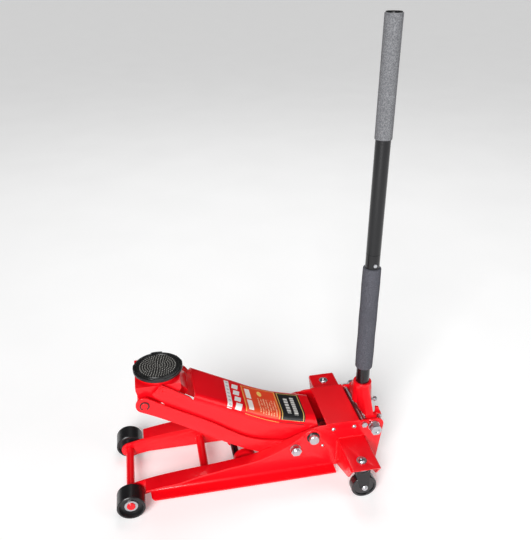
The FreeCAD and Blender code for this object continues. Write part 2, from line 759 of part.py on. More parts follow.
def linkLevel():
    # Drawn level with its rear pivot at the origin; s runs forward, h upward.
    y = -linkInnerY - linkThick
    front = armLength
    rearBack = (linkRearRadius, 0.0)
    upper = [(-s, h) for s, h in [(front, linkFrontRadius)] + linkUpper + [(0.0, linkRearRadius)]]
    lower = [(-s, h) for s, h in [(front, -linkFrontRadius)] + linkLower + [(0.0, -linkRearRadius)]]
    edges = [
        splineXZ(upper, y),
        arcXZ(upper[-1], rearBack, lower[-1], y),
        splineXZ(lower, y),
        arcXZ(lower[0], (-front - linkFrontRadius, 0.0), upper[0], y),
    ]
    plate = wireSolid(edges, linkThick)
    plate = plate.makeFillet(0.8, [e for e in plate.Edges if abs(e.BoundBox.YMax - y) < 0.01])
    holes = Part.makeCompound([
        rodY(0, 0, linkPinRadius + runFit, y - 1, -linkInnerY + 1),
        rodY(-front, 0, linkPinRadius, y - 1, -linkInnerY + 1),
    ])
    return plate.cut(holes)


def linkParts():
    link = turned(linkLevel(), 0, 0, armAngle)
    link.translate(Vec(linkRearX, 0, linkRearZ))
    save("link_left", link)
    save("link_right", mirrorY(link))
    reach = linkInnerY + linkThick + 3.0
    pin = rodY(linkPinX, linkPinZ, linkPinRadius, -reach, reach)
    save("link_pin", pin.makeChamfer(0.8, [e for e in pin.Edges if e.isClosed()]))
    clip = ringY(linkPinX, linkPinZ, linkPinRadius + 2.6, linkPinRadius, -reach + 1.2, -reach + 2.6)
    gap = block(linkPinX - 4, linkPinX + 4, -reach, -reach + 4, linkPinZ - 13, linkPinZ - linkPinRadius + 2)
    clip = clip.cut(gap)
    save("link_circlips", clip, mirrorY(clip))


def saddleBracket():
    seat = rodZ(saddleX, 0, 49.0, bracketSeatZ - bracketTopThick, bracketSeatZ)
    ring = [e for e in seat.Edges if e.isClosed() and e.BoundBox.ZMin < bracketSeatZ - 1]
    seat = seat.makeChamfer(8.0, ring)
    half = bracketHalfWidth
    low = linkPinZ - 15.0
    high = bracketSeatZ - 6
    side = [(linkPinX - 16, armPinZ + 2), (linkPinX - 16, high), (armPinX + 40, high),
            (armPinX + 40, armPinZ - 4), (armPinX + 30, armPinZ - 20), (linkPinX + 20, low),
            (linkPinX - 8, low), (linkPinX - 12, linkPinZ + 14)]
    body = prismY(side, -half, half)
    boss = rodY(linkPinX, linkPinZ, 15.0, -half, half)
    neck = prismY([(armPinX + dx, armPinZ + dz) for dx, dz in bracketNeck],
                  -bracketNeckHalfWidth, bracketNeckHalfWidth)
    bracket = joined(body, boss, seat, neck)
    pinHole = rodY(armPinX, armPinZ, armPinRadius + runFit, -half, -half + armPinDepth)
    linkHole = rodY(linkPinX, linkPinZ, linkPinRadius + slotClearance, -half - 1, half + 1)
    stemHole = rodZ(saddleX, 0, stemRadius + runFit, bracketSeatZ - stemLength - 1.0, bracketSeatZ)
    return bracket.cut(Part.makeCompound([pinHole, mirrorY(pinHole), linkHole])).cut(stemHole)


def saddleParts():
    discTop = saddleBottomZ + saddleDiscThick
    disc = rodZ(saddleX, 0, saddleRadius, saddleBottomZ, discTop)
    disc = disc.makeChamfer(2.0, [e for e in disc.Edges if e.isClosed() and e.BoundBox.ZMax < discTop - 1])
    cup = rodZ(saddleX, 0, saddleRadius - saddleRimWall, discTop - saddleRimHeight, discTop)
    stem = rodZ(saddleX, 0, stemRadius, bracketSeatZ - stemLength, saddleBottomZ + 1)
    lugs = []
    for k in range(4):
        lug = Part.makeCylinder(saddleRadius, saddleLugRise + saddleRimHeight,
                                Vec(saddleX, 0, discTop - saddleRimHeight), axisZ, saddleLugAngle)
        lug.rotate(Vec(saddleX, 0, 0), axisZ, 90 * k - saddleLugAngle / 2)
        core = rodZ(saddleX, 0, saddleRadius - saddleRimWall, discTop - saddleRimHeight - 1,
                    discTop + saddleLugRise + 1)
        lugs.append(lug.cut(core))
    save("saddle_plate", joined(disc.cut(cup), stem, *lugs))
    pad = rodZ(saddleX, 0, saddleRadius - saddleRimWall - 0.3, discTop - saddleRimHeight, saddleTopZ)
    pad = pad.makeChamfer(0.8, [e for e in pad.Edges if e.isClosed() and e.BoundBox.ZMin > saddleTopZ - 1])
    save("saddle_pad", pad)


# ---- handle ----

def socketLoft():
    # A faceted casting that spreads from the round collar to the full width between the plates.
    half = socketHalfWidth
    small = collarRadius * math.sin(math.radians(22.5))
    large = collarRadius * math.cos(math.radians(22.5))
    top = [(large, -small), (small, -large), (-small, -large), (-large, -small),
           (-large, small), (-small, large), (small, large), (large, small)]
    low = [(15.0, -34.0), (9.0, -half), (-9.0, -half), (-15.0, -34.0),
           (-15.0, 34.0), (-9.0, half), (9.0, half), (15.0, 34.0)]
    wires = []
    for ring, z in ((top, collarTopZ - 5), (low, socketFloorZ + 6), (low, socketFloorZ)):
        corners = [Vec(handleX + x, y, z) for x, y in ring]
        wires.append(Part.makePolygon(corners + corners[:1]))
    upper = Part.makeLoft(wires[:2], True, True)
    lower = Part.makeLoft(wires[1:], True, True)
    return upper.fuse(lower)


def handleSocket():
    loft = socketLoft()
    collar = rodZ(handleX, 0, collarRadius, socketFloorZ + 4, collarTopZ)
    rim = [e for e in collar.Edges if e.isClosed() and e.BoundBox.ZMin > collarTopZ - 1]
    collar = collar.makeChamfer(1.5, rim)
    y0 = -socketHalfWidth
    y1 = y0 + earThick
    ear = joined(rodY(socketX, socketZ, socketEarRadius, y0, y1),
                 block(handleX - 7, socketX + 9, y0, y1, socketZ, socketFloorZ + 1))
    roller = rollerCheek()
    lugOuter = -latchY - latchLugThick
    latchLug = joined(rodY(latchX, latchZ, latchEyeRadius - 1, lugOuter, -latchY),
                      block(handleX + 6, latchX, lugOuter, -latchY, latchZ - 6, latchZ + 7))
    body = joined(loft, collar, ear, mirrorY(ear), roller, mirrorY(roller), latchLug)
    bore = rodZ(handleX, 0, tubeRadius + runFit, tubeBottomZ - 1, collarTopZ + 1)
    pivots = rodY(socketX, socketZ, socketBoltRadius + runFit, y0 - 1, y1 + 1)
    pin = rodY(rollerX, rollerZ, rollerPinRadius, -40, 40)
    latchHole = rodY(latchX, latchZ, latchBoltRadius, lugOuter - 1, -latchY + 1)
    cavity = block(handleX - 9, handleX + 9, -socketHalfWidth + 10, -24, socketFloorZ - 1, socketFloorZ + 5)
    for cutter in (bore, pivots, mirrorY(pivots), pin, latchHole, cavity, mirrorY(cavity)):
        body = body.cut(cutter)
    return upright(body)


def rollerCheek():
    # One of the two cheeks that carry the pump roller below the socket's floor.
    y0 = -rollerLugInnerY - rollerLugThick
    eye = rodY(rollerX, rollerZ, 9.5, y0, -rollerLugInnerY)
    web = prismY([(handleX + 2, socketFloorZ + 1), (socketX + 14, socketFloorZ + 1),
                  (rollerX + 9.5, rollerZ), (rollerX - 9.5, rollerZ)], y0, -rollerLugInnerY)
    return joined(eye, web)


def socketBolt():
    y = -plateOuterY
    shank = rodY(socketX, socketZ, socketBoltRadius, y - 5, -socketHalfWidth + earThick - 1)
    flange = rodY(socketX, socketZ, 14.0, y - 4.5, y)
    head = hexY(socketX, socketZ, 24.0, y - 22.0, y - 4.0)
    head = head.cut(rodY(socketX, socketZ, 7.0, y - 22.0, y - 20.5))
    return joined(shank, flange, head)


def handleTubes():
    inner = tubeRadius - tubeWall
    lower = rodZ(handleX, 0, tubeRadius, tubeBottomZ, tubeJointZ - 0.6)
    lower = lower.cut(rodZ(handleX, 0, inner, tubeBottomZ + 6, tubeJointZ))
    button = rodY(handleX, tubeJointZ - 24, buttonRadius, -tubeRadius - 2.2, -inner + 2)
    lower = lower.cut(rodY(handleX, tubeJointZ - 24, buttonRadius, -tubeRadius - 3, -inner + 3))
    save("lower_tube", upright(lower))
    upper = rodZ(handleX, 0, tubeRadius, tubeJointZ, handleTopZ)
    spigot = rodZ(handleX, 0, inner - 0.1, tubeJointZ - spigotLength, tubeJointZ + 20)
    upper = joined(upper, spigot)
    upper = upper.cut(rodZ(handleX, 0, inner - 2.1, tubeJointZ - spigotLength - 1, tubeJointZ + 20))
    upper = upper.cut(rodZ(handleX, 0, inner, tubeJointZ + 20, handleTopZ + 1))
    upper = upper.cut(rodY(handleX, tubeJointZ - 24, buttonRadius, -tubeRadius - 3, -inner + 3))
    save("upper_tube", upright(upper))
    save("joint_button", upright(button))


def gripSleeve(radius, z0, z1, round):
    sleeve = rodZ(handleX, 0, radius, z0, z1)
    sleeve = sleeve.makeFillet(round, [e for e in sleeve.Edges if e.isClosed()])
    return upright(sleeve.cut(rodZ(handleX, 0, tubeRadius, z0 - 1, z1 + 1)))


def latchParts():
    # A spring catch on the back of the socket that holds the handle upright.
    y0 = -latchY + latchPlay
    y1 = y0 + latchThick
    eye = rodY(latchX, latchZ, latchEyeRadius, y0, y1)
    finger = prismY([(latchX - 6, latchZ), (latchX + 6, latchZ), (latchX + 1, latchZ + 18),
                     (latchX - 7, latchZ + 20)], y0, y1)
    pawl = joined(eye, finger).cut(rodY(latchX, latchZ, latchBoltRadius + runFit, y0 - 1, y1 + 1))
    pawl = pawl.cut(rodY(latchX - 3.0, latchZ + 16, 1.2, y0 - 1, y1 + 1))
    save("latch_pawl", upright(pawl))
    lugOuter = -latchY - latchLugThick
    shank = rodY(latchX, latchZ, latchBoltRadius, lugOuter - 5.5, y1 + 3.0)
    nut = hexY(latchX, latchZ, 11.0, lugOuter - 5.5, lugOuter)
    nut = nut.cut(rodY(latchX, latchZ, latchBoltRadius, lugOuter - 6, lugOuter + 1))
    head = rodY(latchX, latchZ, 5.5, y1 + 0.4, y1 + 3.0)
    save("latch_bolt", upright(joined(shank, head)), upright(nut))
    boss = rodX(anchorY, anchorZ, 2 * anchorRadius, handleX + anchorSeatX, handleX + anchorSeatX + 5)
    save("latch_anchor", upright(joined(anchorShank(), boss)))


def anchorShank():
    return rodX(anchorY, anchorZ, anchorRadius, handleX + 4, handleX + anchorSeatX)


def socketParts():
    solid = handleSocket()
    save("handle_socket", solid.cut(upright(anchorShank())))
    bolt = socketBolt()
    save("socket_bolts", bolt, mirrorY(bolt))
    roller = ringY(rollerX, rollerZ, rollerRadius, rollerPinRadius + runFit,
                   -rollerHalfWidth, rollerHalfWidth)
    save("pump_roller", upright(roller))
    reach = rollerLugInnerY + rollerLugThick + 1.5
    save("roller_pin", upright(rodY(rollerX, rollerZ, rollerPinRadius, -reach, reach)))


# ---- casters ----

def casterBracket():
    outline = [(-plateOuterY, bracketTopZ), (-bracketOuterY, bracketTopZ),
               (-bracketHeelY, bracketHeelZ), (-plateOuterY, bracketRootZ)]
    solid = prismX(outline, bracketFrontX, bracketRearX)
    ends = [e for e in solid.Edges if abs(e.tangentAt(0).y) > 0.9 and e.BoundBox.ZMin > bracketTopZ - 0.01]
    solid = solid.makeFillet(5.0, ends)
    hollow = block(bracketFrontX + bracketThick, bracketRearX - bracketThick,
                   -bracketOuterY - 1, -plateOuterY + 1, 0, bracketTopZ - bracketThick)
    hole = rodZ(casterX, -casterY, casterBoltRadius, bracketTopZ - 10, bracketTopZ + 1)
    notch = block(bracketFrontX - 1, bottomLipRearX + 7.5, -bottomLipY - 1, -plateOuterY,
                  0, bottomLipZ + lipBend)
    return solid.cut(hollow).cut(hole).cut(notch)


def casterBolt():
    x, y = casterX, -casterY
    head = domeZ(x, y, 9.5, 5.5, bracketTopZ + 1.6)
    washer = rodZ(x, y, 11.5, bracketTopZ, bracketTopZ + 2.0)
    shank = rodZ(x, y, casterBoltRadius, forkTopZ - forkThick - 6.5, bracketTopZ + 1)
    nut = hexZ(x, y, 17.0, forkTopZ - forkThick - 6.5, forkTopZ - forkThick - 0.4)
    return joined(shank, washer, head, nut)


def bearingCup():
    x, y = casterX, -casterY
    cup = Part.makeCone(cupRadius - 3, cupRadius, cupHeight - 0.3, Vec(x, y, forkTopZ + 0.3), axisZ)
    return cup.cut(rodZ(x, y, casterBoltRadius, forkTopZ, cupTopZ + 1))


def casterFork():
    x, y = casterX, -casterY
    top = rodZ(x, y, cupRadius - 1.5, forkTopZ - forkThick, forkTopZ)
    inner = casterWidth / 2 + forkGap
    outer = inner + forkThick
    cheek = joined(block(x - 17, x + 17, y - outer, y - inner, forkTopZ - 12, forkTopZ),
                   prismY([(x - 17, forkTopZ - 12), (x + 17, forkTopZ - 12),
                           (casterWheelX + 9, casterRadius), (casterWheelX - 9, casterRadius)],
                          y - outer, y - inner),
                   rodY(casterWheelX, casterRadius, 9.0, y - outer, y - inner))
    other = cheek.mirror(Vec(x, y, 0), axisY)
    fork = joined(top, cheek, other)
    fork = fork.cut(rodZ(x, y, casterBoltRadius + runFit, forkTopZ - forkThick - 1, forkTopZ + 1))
    return fork.cut(rodY(casterWheelX, casterRadius, casterAxleRadius, y - outer - 1, y + outer + 1))


def casterWheel():
    y = -casterY
    half = casterWidth / 2
    wheel = rodY(casterWheelX, casterRadius, casterRadius, y - half, y + half)
    wheel = wheel.makeFillet(3.0, [e for e in wheel.Edges if e.isClosed()])
    for side in (-1, 1):
        near = y + side * half
        lo, hi = sorted((near, near - side * 2.5))
        wheel = wheel.cut(ringY(casterWheelX, casterRadius, casterRadius - 6, 10.0, lo, hi))
    return wheel.cut(rodY(casterWheelX, casterRadius, casterAxleRadius + runFit, y - half, y + half))


def casterAxle():
    y = -casterY
    reach = casterWidth / 2 + forkGap + forkThick
    shank = rodY(casterWheelX, casterRadius, casterAxleRadius, y - reach - 1, y + reach + 3)
    head = domeY(casterWheelX, casterRadius, 7.5, 4.5, y - reach)
    nut = hexY(casterWheelX, casterRadius, 13.0, y + reach, y + reach + 5)
    return joined(shank, head, nut)


def sidePair(stem, shape):
    save(stem + "_left", shape)
    save(stem + "_right", mirrorY(shape))


def main():
    os.makedirs("parts", exist_ok=True)
    sidePair("side_plate", sidePlate())
    sidePair("front_wheel", frontWheel())
    washer = axleWasher()
    save("axle_washers", washer, mirrorY(washer))
    crossMembers()
    pivotParts()
    bolts = linkBolt()
    save("link_bolts", *(bolts + [mirrorY(b) for b in bolts]))
    coverParts()
    powerUnit()
    save("ram", ramPart())
    pumpParts()
    save("release_valve", releaseValve())
    armParts()
    linkParts()
    save("saddle_bracket", saddleBracket())
    saddleParts()
    socketParts()
    handleTubes()
    save("lower_grip", gripSleeve(lowerGripRadius, lowerGripBottomZ, lowerGripTopZ, 2.0))
    save("upper_grip", gripSleeve(upperGripRadius, upperGripBottomZ, handleTopZ - 2.0, 0.8))
    latchParts()
    sidePair("caster_bracket", casterBracket())
    bolt = casterBolt()
    save("caster_bolts", bolt, mirrorY(bolt))
    cup = bearingCup()
    save("bearing_cups", cup, mirrorY(cup))
    sidePair("caster_fork", casterFork())
    sidePair("caster_wheel", casterWheel())
    sidePair("caster_axle", casterAxle())


if __name__ == "__main__":
    main()
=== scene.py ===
import bpy
import json
import math
from mathutils import Matrix, Vector
from mathutils.bvhtree import BVHTree

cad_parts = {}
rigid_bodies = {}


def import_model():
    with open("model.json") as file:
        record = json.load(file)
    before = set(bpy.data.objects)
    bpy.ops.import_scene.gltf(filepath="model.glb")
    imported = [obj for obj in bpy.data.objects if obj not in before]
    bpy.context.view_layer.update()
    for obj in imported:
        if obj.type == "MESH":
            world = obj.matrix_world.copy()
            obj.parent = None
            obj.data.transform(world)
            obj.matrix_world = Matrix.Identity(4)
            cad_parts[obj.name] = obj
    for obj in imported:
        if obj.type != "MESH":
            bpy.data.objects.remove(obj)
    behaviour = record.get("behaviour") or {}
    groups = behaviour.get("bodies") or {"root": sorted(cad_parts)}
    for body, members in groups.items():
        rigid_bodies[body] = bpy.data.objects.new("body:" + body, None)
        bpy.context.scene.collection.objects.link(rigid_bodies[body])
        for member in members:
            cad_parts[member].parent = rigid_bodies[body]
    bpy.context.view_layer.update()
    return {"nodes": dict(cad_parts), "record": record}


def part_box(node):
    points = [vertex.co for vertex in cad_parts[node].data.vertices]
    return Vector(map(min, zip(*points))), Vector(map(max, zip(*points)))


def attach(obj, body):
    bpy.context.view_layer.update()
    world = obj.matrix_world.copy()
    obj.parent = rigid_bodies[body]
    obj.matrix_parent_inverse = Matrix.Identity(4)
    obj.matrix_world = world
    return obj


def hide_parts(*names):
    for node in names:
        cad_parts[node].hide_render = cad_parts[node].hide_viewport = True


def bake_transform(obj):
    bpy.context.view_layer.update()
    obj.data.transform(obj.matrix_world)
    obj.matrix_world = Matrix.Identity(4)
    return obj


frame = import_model()
record = frame["record"]
joints = {j["name"]: j for j in record["behaviour"]["joints"]}


class Signal:
    # A socket that does sums: an expression on signals adds the Math nodes it needs.
    def __init__(self, tree, socket=None):
        self.tree = tree
        self.socket = socket

    def make(self, kind, settings=None, values=None, output=0):
        node = self.tree.nodes.new(kind)
        for name, value in (settings or {}).items():
            if name == "stops":
                ramp = node.color_ramp
                while len(ramp.elements) < len(value):
                    ramp.elements.new(0.5)
                for element, (place, colour) in zip(ramp.elements, value):
                    element.position = place
                    element.color = (*colour, 1.0)
            else:
                setattr(node, name, value)
        for name, value in (values or {}).items():
            if isinstance(value, Signal):
                self.tree.links.new(value.socket, node.inputs[name])
            else:
                node.inputs[name].default_value = value
        return Signal(self.tree, node.outputs[output])

    def sum2(self, operation, first, second=0.0):
        return self.make("ShaderNodeMath", {"operation": operation}, {0: first, 1: second})

    def __add__(self, other):
        return self.sum2("ADD", self, other)

    def __radd__(self, other):
        return self.sum2("ADD", other, self)

    def __sub__(self, other):
        return self.sum2("SUBTRACT", self, other)

    def __rsub__(self, other):
        return self.sum2("SUBTRACT", other, self)

    def __mul__(self, other):
        return self.sum2("MULTIPLY", self, other)

    def __rmul__(self, other):
        return self.sum2("MULTIPLY", other, self)

    def __gt__(self, other):
        return self.sum2("GREATER_THAN", self, other)

    def __lt__(self, other):
        return self.sum2("LESS_THAN", self, other)


def newMaterial(name, coat=0.0, coatRoughness=0.1, specular=0.5):
    material = bpy.data.materials.new(name)
    material.use_nodes = True
    tree = material.node_tree
    shader = tree.nodes["Principled BSDF"]
    shader.inputs["Coat Weight"].default_value = coat
    shader.inputs["Coat Roughness"].default_value = coatRoughness
    shader.inputs["Specular IOR Level"].default_value = specular
    place = Signal(tree).make("ShaderNodeTexCoord", output="Object")
    return material, shader, place


def feed(shader, socket, value):
    if isinstance(value, Signal):
        value.tree.links.new(value.socket, shader.inputs[socket])
    else:
        shader.inputs[socket].default_value = value


def noise(place, scale, detail=3.0, rough=0.5, squeeze=(1.0, 1.0, 1.0)):
    if squeeze != (1.0, 1.0, 1.0):
        place = place.make("ShaderNodeMapping", None, {"Vector": place, "Scale": squeeze})
    return place.make("ShaderNodeTexNoise", None,
                      {"Vector": place, "Scale": scale, "Detail": detail, "Roughness": rough})


def blendColour(mask, first, second):
    def asColour(c):
        return c if isinstance(c, Signal) else (*c, 1.0)
    return mask.make("ShaderNodeMix", {"data_type": "RGBA"},
                     {0: mask, 6: asColour(first), 7: asColour(second)}, output=2)


def bump(height, strength, distance, under=None):
    values = {"Height": height, "Strength": strength, "Distance": distance}
    if under:
        values["Normal"] = under
    return height.make("ShaderNodeBump", None, values)


def smoothStep(value, low, high):
    return value.make("ShaderNodeMapRange", {"interpolation_type": "SMOOTHSTEP"},
                      {"Value": value, "From Min": low, "From Max": high})


enamelLook = {
    "bright": (0.80, 0.003, 0.010), "deep": (0.72, 0.002, 0.007), "chip": (0.34, 0.004, 0.006),
    "peelScale": 620.0, "peelStrength": 0.08, "gloss": 0.24, "coat": 0.22, "specular": 0.28,
}


def redEnamel():
    look = enamelLook
    material, shader, place = newMaterial("redEnamel", look["coat"], 0.07, look["specular"])
    tone = noise(place, 7.0, 4.0)
    mist = noise(place, 90.0, 5.0, 0.65)
    speck = smoothStep(noise(place, 420.0, 2.0), 0.74, 0.80)
    colour = blendColour(smoothStep(tone, 0.3, 0.7), look["deep"], look["bright"])
    colour = blendColour(speck * 0.35, colour, look["chip"])
    feed(shader, "Base Color", colour)
    feed(shader, "Roughness", look["gloss"] + mist * 0.16)
    peel = noise(place, look["peelScale"], 2.0)
    sheet = noise(place, 34.0, 2.0)
    feed(shader, "Normal", bump(peel, look["peelStrength"], 0.0002, bump(sheet, 0.10, 0.0012)))
    return material


def castRedEnamel():
    # The same paint over a sand casting: a coarser skin.
    look = enamelLook
    material, shader, place = newMaterial("castRedEnamel", look["coat"], 0.10, look["specular"])
    grain = noise(place, 260.0, 4.0, 0.6)
    tone = noise(place, 11.0, 4.0)
    colour = blendColour(smoothStep(tone, 0.25, 0.75), look["deep"], look["bright"])
    feed(shader, "Base Color", colour)
    feed(shader, "Roughness", 0.24 + noise(place, 70.0, 4.0) * 0.18)
    feed(shader, "Normal", bump(grain, 0.35, 0.0006, bump(noise(place, 48.0, 3.0), 0.25, 0.0018)))
    return material


def blackEnamel(name, base, gloss, coat, skin):
    material, shader, place = newMaterial(name, coat, 0.12, 0.30)
    tone = noise(place, 14.0, 4.0)
    dust = smoothStep(noise(place, 55.0, 6.0, 0.7), 0.55, 0.85)
    colour = blendColour(tone, tuple(c * 0.8 for c in base), tuple(c * 1.3 for c in base))
    colour = blendColour(dust * 0.18, colour, (0.045, 0.044, 0.042))
    feed(shader, "Base Color", colour)
    feed(shader, "Roughness", gloss + dust * 0.18 + tone * 0.08)
    feed(shader, "Normal", bump(noise(place, 480.0, 3.0), skin, 0.0004))
    return material


def platedMetal(name, light, dark, roughness, lineScale, squeeze, tint):
    material, shader, place = newMaterial(name)
    lines = noise(place, lineScale, 3.0, 0.6, squeeze)
    cloud = noise(place, 28.0, 4.0, 0.6)
    colour = blendColour(lines, dark, light)
    colour = blendColour(smoothStep(cloud, 0.45, 0.8) * 0.5, colour, tint)
    feed(shader, "Base Color", colour)
    feed(shader, "Metallic", 1.0)
    feed(shader, "Roughness", roughness + cloud * 0.14 + lines * 0.08)
    feed(shader, "Normal", bump(lines, 0.10, 0.0003))
    return material


def hardChrome():
    material, shader, place = newMaterial("hardChrome")
    film = noise(place, 40.0, 5.0, 0.7)
    feed(shader, "Base Color", blendColour(film, (0.70, 0.72, 0.75), (0.82, 0.83, 0.85)))
    feed(shader, "Metallic", 1.0)
    feed(shader, "Roughness", 0.05 + smoothStep(film, 0.5, 0.9) * 0.12)
    feed(shader, "Normal", bump(noise(place, 900.0, 1.0, 0.5, (0.02, 1.0, 1.0)), 0.04, 0.0001))
    return material


def padRubber():
    material, shader, place = newMaterial("padRubber", 0.18, 0.2, 0.35)
    skin = noise(place, 700.0, 3.0)
    wear = smoothStep(noise(place, 60.0, 4.0, 0.6), 0.5, 0.8)
    feed(shader, "Base Color", blendColour(wear, (0.007, 0.007, 0.007), (0.017, 0.016, 0.016)))
    feed(shader, "Roughness", 0.26 + wear * 0.2)
    feed(shader, "Normal", bump(skin, 0.25, 0.0003))
    return material


def gripFoam(name, dark, light, cell, depth):
    # Closed cell foam: fine cells, a few open pores, faint handling marks.
    material, shader, place = newMaterial(name, specular=0.3)
    cells = place.make("ShaderNodeTexVoronoi", None, {"Vector": place, "Scale": cell})
    fleck = noise(place, cell * 0.55, 4.0, 0.75)
    soil = noise(place, 16.0, 5.0, 0.6, (1.0, 1.0, 0.35))
    colour = blendColour(smoothStep(fleck, 0.38, 0.66), dark, light)
    colour = blendColour(smoothStep(soil, 0.5, 0.85) * 0.4, colour, tuple(c * 0.7 for c in dark))
    pores = smoothStep(cells, 0.10, 0.02)
    colour = blendColour(pores * 0.5, colour, (0.02, 0.02, 0.022))
    feed(shader, "Base Color", colour)
    feed(shader, "Roughness", 0.72 + fleck * 0.2)
    feed(shader, "Normal", bump(cells + fleck * 0.8, depth, 0.0007))
    return material


def casterNylon():
    material, shader, place = newMaterial("casterNylon", 0.3, 0.15)
    tone = noise(place, 30.0, 4.0)
    scuff = smoothStep(noise(place, 120.0, 6.0, 0.7), 0.60, 0.78)
    feed(shader, "Base Color", blendColour(scuff * 0.6, (0.010, 0.010, 0.011), (0.07, 0.068, 0.065)))
    feed(shader, "Roughness", 0.22 + scuff * 0.3 + tone * 0.08)
    feed(shader, "Normal", bump(noise(place, 380.0, 3.0), 0.10, 0.0003))
    return material


print("finishes")
# The nubs get a grey base colour far lighter than the pad's black rubber: painted sheen standing in for
# their highlights. The coat and low roughness add real gloss on top.
nubShine = blackEnamel("nubShine", (0.13, 0.125, 0.115), 0.12, 1.0, 0.05)
tubeBlack = blackEnamel("tubeBlack", (0.004, 0.004, 0.005), 0.10, 0.35, 0.04)
finishes = {
    "red_enamel": redEnamel(),
    "black_enamel": blackEnamel("blackEnamel", (0.009, 0.009, 0.010), 0.22, 0.25, 0.18),
    "zinc_plate": platedMetal("zincPlate", (0.66, 0.67, 0.69), (0.44, 0.45, 0.48), 0.20, 300.0,
                              (1.0, 1.0, 1.0), (0.52, 0.54, 0.60)),
    "bare_steel": platedMetal("machinedSteel", (0.52, 0.51, 0.50), (0.34, 0.33, 0.33), 0.26, 700.0,
                              (1.0, 0.15, 0.15), (0.30, 0.26, 0.22)),
    "hard_chrome": hardChrome(),
    "spring_steel": platedMetal("springSteel", (0.24, 0.24, 0.26), (0.12, 0.12, 0.13), 0.34, 500.0,
                                (1.0, 1.0, 1.0), (0.10, 0.08, 0.07)),
    "pad_rubber": padRubber(),
    "grip_foam": gripFoam("lowerFoam", (0.046, 0.047, 0.058), (0.105, 0.107, 0.126), 900.0, 0.5),
    "upper_grip_foam": gripFoam("upperFoam", (0.105, 0.107, 0.115), (0.235, 0.238, 0.250), 700.0, 0.6),
    "caster_plastic": casterNylon(),
}
castRed = castRedEnamel()
wheelBlack = blackEnamel("wheelBlack", (0.010, 0.010, 0.011), 0.30, 0.25, 0.30)
tubeNodes = ("lower_tube", "upper_tube", "arm_rest_tube")
wheelNodes = ("front_wheel_left", "front_wheel_right", "saddle_plate")
castNodes = ("handle_socket", "saddle_bracket", "arm_rest_lugs", "power_unit")

nodeSlot = {s["node"]: s["material_slot"] for s in record["subparts"]}
for node, obj in frame["nodes"].items():
    look = finishes[nodeSlot[node]]
    if node in wheelNodes:
        look = wheelBlack
    if node in castNodes:
        look = castRed
    if node in tubeNodes:
        look = tubeBlack
    for place in obj.material_slots:
        place.material = look


def nothingSelected():
    if bpy.context.object and bpy.context.object.mode == "EDIT":
        bpy.ops.object.mode_set(mode="OBJECT")
    for obj in bpy.data.objects:
        obj.select_set(False)


def only(obj):
    nothingSelected()
    obj.select_set(True)
    bpy.context.view_layer.objects.active = obj


def pick(obj, kind, test):
    # Selects the faces, edges or vertices that pass the test and goes back to edit mode.
    bpy.ops.object.mode_set(mode="EDIT")
    bpy.ops.mesh.select_mode(type={"faces": "FACE", "edges": "EDGE", "vertices": "VERT"}[kind])
    bpy.ops.mesh.select_all(action="DESELECT")
    bpy.ops.object.mode_set(mode="OBJECT")
    mesh = obj.data
    for item in getattr(mesh, {"faces": "polygons", "edges": "edges", "vertices": "vertices"}[kind]):
        if kind == "edges":
            ends = [mesh.vertices[v].co for v in item.vertices]
            item.select = bool(test(ends[0], ends[1]))
        else:
            item.select = bool(test(item))
    bpy.ops.object.mode_set(mode="EDIT")


def finishPiece(obj, name, material, body, angle=35.0):
    only(obj)
    bpy.ops.object.transform_apply(location=True, rotation=True, scale=True)
    bpy.ops.object.shade_smooth_by_angle(angle=math.radians(angle))
    obj.name = name
    obj.data.name = name
    obj.data.materials.clear()
    obj.data.materials.append(material)
    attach(obj, body)
    return obj


def applyModifier(obj, kind, **settings):
    only(obj)
    modifier = obj.modifiers.new(kind.title(), kind)
    for name, value in settings.items():
        setattr(modifier, name, value)
    bpy.ops.object.modifier_apply(modifier=modifier.name)


def joinAll(objects):
    nothingSelected()
    for obj in objects:
        obj.select_set(True)
    bpy.context.view_layer.objects.active = objects[0]
    if len(objects) > 1:
        bpy.ops.object.join()
    return bpy.context.view_layer.objects.active


def copyOf(obj, matrix):
    twin = obj.copy()
    twin.data = obj.data.copy()
    twin.data.transform(matrix)
    bpy.context.collection.objects.link(twin)
    return twin


# The width of the rounded edge on each pressed or cast part; 0 keeps the edge as it is.
rolledEdges = {
    "side_plate_left": 0.0009, "side_plate_right": 0.0009, "lift_arm": 0.0007,
    "link_left": 0.0, "link_right": 0.0, "rear_cover": 0.0006,
    "caster_bracket_left": 0.0009, "caster_bracket_right": 0.0009,
    "handle_socket": 0.0012, "saddle_bracket": 0.0014, "saddle_plate": 0.0006,
}


def copyOfNode(node):
    source = frame["nodes"][node]
    twin = source.copy()
    twin.data = source.data.copy()
    twin.parent = None
    bpy.context.collection.objects.link(twin)
    for keys in [k for k in twin.keys() if k.startswith("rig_")]:
        del twin[keys]
    return twin


def rolledCopy(node, width):
    twin = copyOfNode(node)
    only(twin)
    bpy.ops.mesh.customdata_custom_splitnormals_clear()
    bpy.ops.object.mode_set(mode="EDIT")
    bpy.ops.mesh.select_all(action="SELECT")
    bpy.ops.mesh.remove_doubles(threshold=0.00001)
    bpy.ops.mesh.dissolve_limited(angle_limit=math.radians(0.6))
    bpy.ops.object.mode_set(mode="OBJECT")
    if width:
        applyModifier(twin, "BEVEL", width=width, segments=3, limit_method="ANGLE",
                      angle_limit=math.radians(38), use_clamp_overlap=True, harden_normals=False)
    return twin


# Each coil lists the bodies at its front and rear ends; the copy is not attached to them or stretched
# between them.
springLook = [
    {"node": "pump_spring", "name": "pumpSpring", "front": "chassis", "rear": "pump"},
    {"node": "return_springs", "name": "returnSprings", "front": "arm", "rear": "chassis"},
]


def makeSprings():
    for look in springLook:
        twin = copyOfNode(look["node"])
        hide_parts(look["node"])
        only(twin)
        bpy.ops.object.shade_smooth_by_angle(angle=math.radians(35))
        twin.name = look["name"]
        twin.data.name = look["name"]
        twin.data.materials.clear()
        twin.data.materials.append(finishes["spring_steel"])
        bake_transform(twin)


